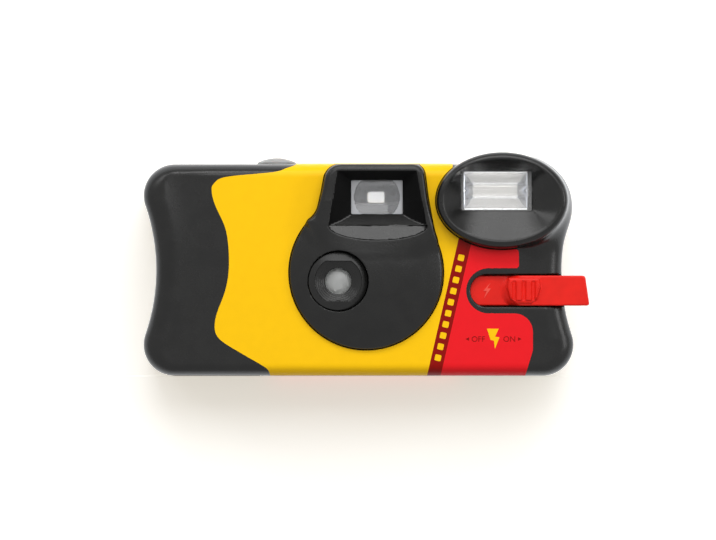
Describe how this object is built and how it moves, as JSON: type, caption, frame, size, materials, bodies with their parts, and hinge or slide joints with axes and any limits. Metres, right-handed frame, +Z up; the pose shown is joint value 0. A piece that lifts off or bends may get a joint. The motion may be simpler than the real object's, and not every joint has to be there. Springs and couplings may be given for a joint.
{
  "type": "single-use film camera",
  "caption": "Single-use 35 mm film camera with a dome front, a viewfinder tower, a hooded flash, a sliding flash switch, a shutter button, a thumbwheel and a wrapped label.",
  "frame": {"origin": "middle of the flat base, half way through the depth of the body", "axes": "+X to the right seen from the front, +Y from the lens to the back, +Z up"},
  "size_m": [0.1202, 0.0392, 0.061],
  "materials": {
    "black_plastic": "fine moulded grain, satin",
    "label_print": "printed coated paper, gloss varnish",
    "frame_plastic": "smooth moulded",
    "clear_plastic": "polished acrylic",
    "reflector_metal": "bright formed sheet",
    "lamp_glass": "clear glass",
    "board_laminate": "lacquered laminate",
    "capacitor_sleeve": "shrunk sleeve",
    "copper_winding": "lacquered wire",
    "transformer_tape": "adhesive tape over ferrite",
    "spring_brass": "pressed sheet",
    "plated_steel": "nickel plated sheet",
    "spring_steel": "drawn wire",
    "red_plastic": "moulded, semi gloss",
    "button_plastic": "pale translucent",
    "white_plastic": "smooth moulded",
    "blackened_sheet": "dull black",
    "cassette_paint": "printed sheet",
    "film_base": "orange brown base",
    "orange_lamp": "clear glass with an orange glow",
    "cell_sleeve": "plain metallic sleeve"
  },
  "bodies": {
    "camera_body": {"front_cover": "black_plastic", "rear_cover": "black_plastic", "wrap_label": "label_print", "main_frame": "frame_plastic", "taking_lens": "clear_plastic", "lens_retainer": "frame_plastic", "viewfinder_lens": "clear_plastic", "eyepiece_lens": "clear_plastic", "flash_window": "clear_plastic", "flash_reflector": "reflector_metal", "flash_tube": "lamp_glass", "circuit_board": "board_laminate", "flash_capacitor": "capacitor_sleeve", "oscillator_transformer": "transformer_tape", "trigger_coil": "copper_winding", "switch_contact": "spring_brass", "battery": "cell_sleeve", "battery_positive_contact": "plated_steel", "battery_negative_contact": "plated_steel", "ready_lamp": "orange_lamp", "ready_light_pipe": "orange_lamp", "sync_contact": "spring_brass", "button_spring": "spring_steel", "counter_window": "clear_plastic", "anti_reverse_pawl": "white_plastic", "cassette_shell": "cassette_paint", "cassette_end_caps": "cassette_paint", "film_strip": "film_base", "striker_spring": "spring_steel"},
    "switch": {"flash_switch": "red_plastic"},
    "button": {"shutter_button": "button_plastic"},
    "winder": {"thumbwheel": "black_plastic", "cassette_spool": "frame_plastic"},
    "supply": {"supply_spool": "frame_plastic", "film_roll": "film_base"},
    "sprocket": {"metering_sprocket": "white_plastic"},
    "counter": {"counter_disc": "white_plastic"},
    "lever": {"metering_lever": "white_plastic"},
    "striker_arm": {"striker": "white_plastic"},
    "blade": {"shutter_blade": "blackened_sheet"},
    "door": {"film_door": "black_plastic"}
  },
  "joints": [
    {"name": "switch_slide", "type": "slide", "parent": "camera_body", "child": "switch", "axis": [1, 0, 0], "range_m": [-0.0076, 0]},
    {"name": "button_press", "type": "slide", "parent": "camera_body", "child": "button", "axis": [0, 0, -1], "range_m": [0, 0.0012], "stiffness_N_per_m": 1200, "deforming": ["button_spring"]},
    {"name": "winding", "type": "hinge", "parent": "camera_body", "child": "winder", "pos_m": [-0.0394, 0.0016, 0.0507], "axis": [0, 0, 1], "continuous": true},
    {"name": "supply_turn", "type": "hinge", "parent": "camera_body", "child": "supply", "pos_m": [0.0366, 0.00483, 0.0266], "axis": [0, 0, 1], "continuous": true},
    {"name": "sprocket_turn", "type": "hinge", "parent": "camera_body", "child": "sprocket", "pos_m": [-0.0215, 0.00692, 0.0456], "axis": [0, 0, 1], "continuous": true},
    {"name": "counter_turn", "type": "hinge", "parent": "camera_body", "child": "counter", "pos_m": [-0.013, 0.00156, 0.0512], "axis": [0, 0, 1], "continuous": true},
    {"name": "lever_swing", "type": "hinge", "parent": "camera_body", "child": "lever", "pos_m": [-0.0135, 0.00592, 0.04855], "axis": [0, 0, -1], "range_deg": [0, 12]},
    {"name": "striker_swing", "type": "hinge", "parent": "camera_body", "child": "striker_arm", "pos_m": [-0.016, -0.00258, 0.04725], "axis": [0, 0, -1], "range_deg": [0, 18], "stiffness_Nm_per_rad": 0.004},
    {"name": "blade_swing", "type": "hinge", "parent": "camera_body", "child": "blade", "pos_m": [-0.0125, -0.01345, 0.038], "axis": [0, 1, 0], "range_deg": [0, 24], "stiffness_Nm_per_rad": 0.0006},
    {"name": "door_swing", "type": "hinge", "parent": "camera_body", "child": "door", "pos_m": [-0.0394, -0.0119, 0.00095], "axis": [-1, 0, 0], "range_deg": [0, 95]}
  ],
  "couplings": [
    {"joint": "supply_turn", "follows": "winding", "ratio": 0.7},
    {"joint": "sprocket_turn", "follows": "winding", "ratio": 0.9259},
    {"joint": "counter_turn", "follows": "winding", "ratio": -0.03086},
    {"joint": "lever_swing", "follows": "button_press", "rad_per_m": 64}
  ]
}
